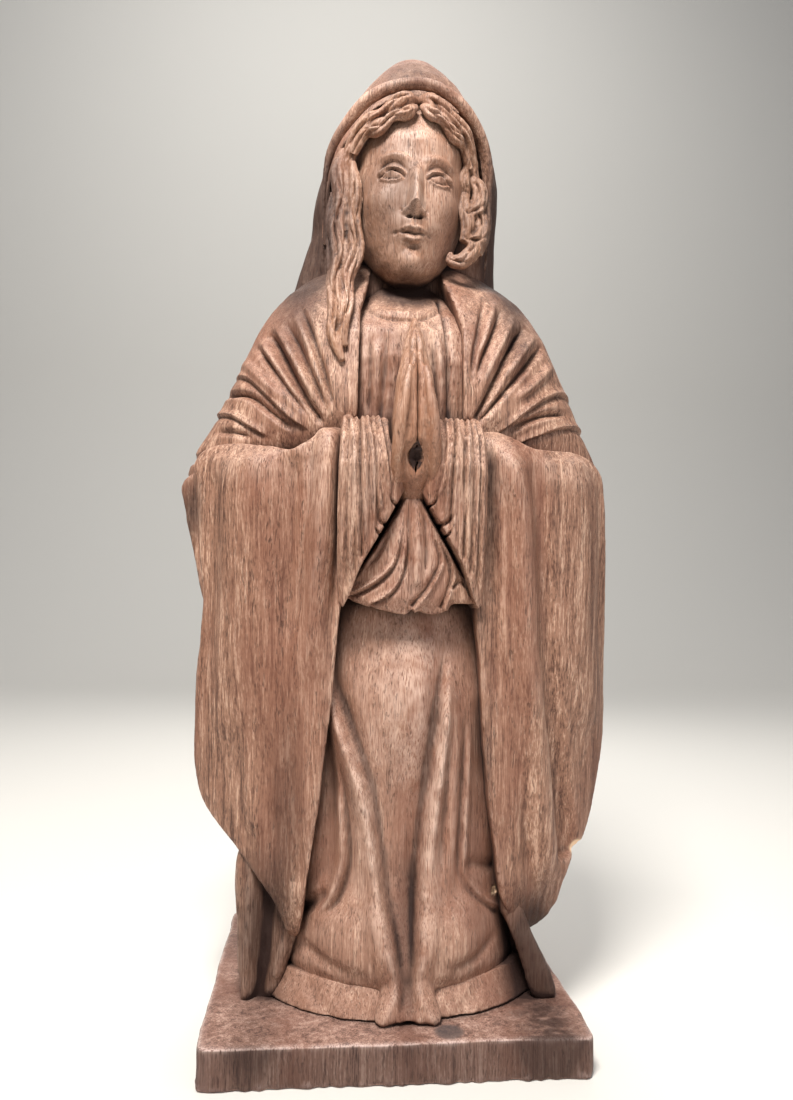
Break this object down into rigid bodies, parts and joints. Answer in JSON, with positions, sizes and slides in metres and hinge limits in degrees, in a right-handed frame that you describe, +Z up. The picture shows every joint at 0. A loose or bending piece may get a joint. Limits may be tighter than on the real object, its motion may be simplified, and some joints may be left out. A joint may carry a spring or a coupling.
{
  "type": "madonna statue",
  "caption": "Carved wooden Madonna standing with joined hands, in a hooded mantle with long hanging sleeves, on a low square plinth.",
  "frame": {"origin": "middle of the plinth's flat underside", "axes": "+Z up; -Y the way the figure faces; +X the figure's own left, which is the viewer's right"},
  "size_m": [0.124, 0.088, 0.288],
  "materials": {
    "garment_wood": "brown stain over close-grained hardwood, rubbed lighter on the high folds",
    "smooth_wood": "brown stain, scraped and rubbed smooth",
    "hair_wood": "brown stain, gouge-cut strands",
    "plinth_wood": "brown stain, end grain on top, worn edges"
  },
  "bodies": {
    "root": {"plinth": "plinth_wood", "underskirt_right": "garment_wood", "underskirt_left": "garment_wood", "skirt": "garment_wood", "hand_right": "smooth_wood", "hand_left": "smooth_wood", "cuff_right": "garment_wood", "cuff_left": "garment_wood", "blouse_fall": "garment_wood", "sleeve_right": "garment_wood", "sleeve_left": "garment_wood", "head": "smooth_wood", "hair_fringe_right": "hair_wood", "hair_fringe_left": "hair_wood", "hair_long_lock": "hair_wood", "hair_side_curls": "hair_wood", "neck": "smooth_wood", "bodice": "garment_wood", "mantle_shoulder_right": "garment_wood", "mantle_shoulder_left": "garment_wood", "hood": "garment_wood", "mantle_back": "garment_wood"}
  },
  "joints": []
}
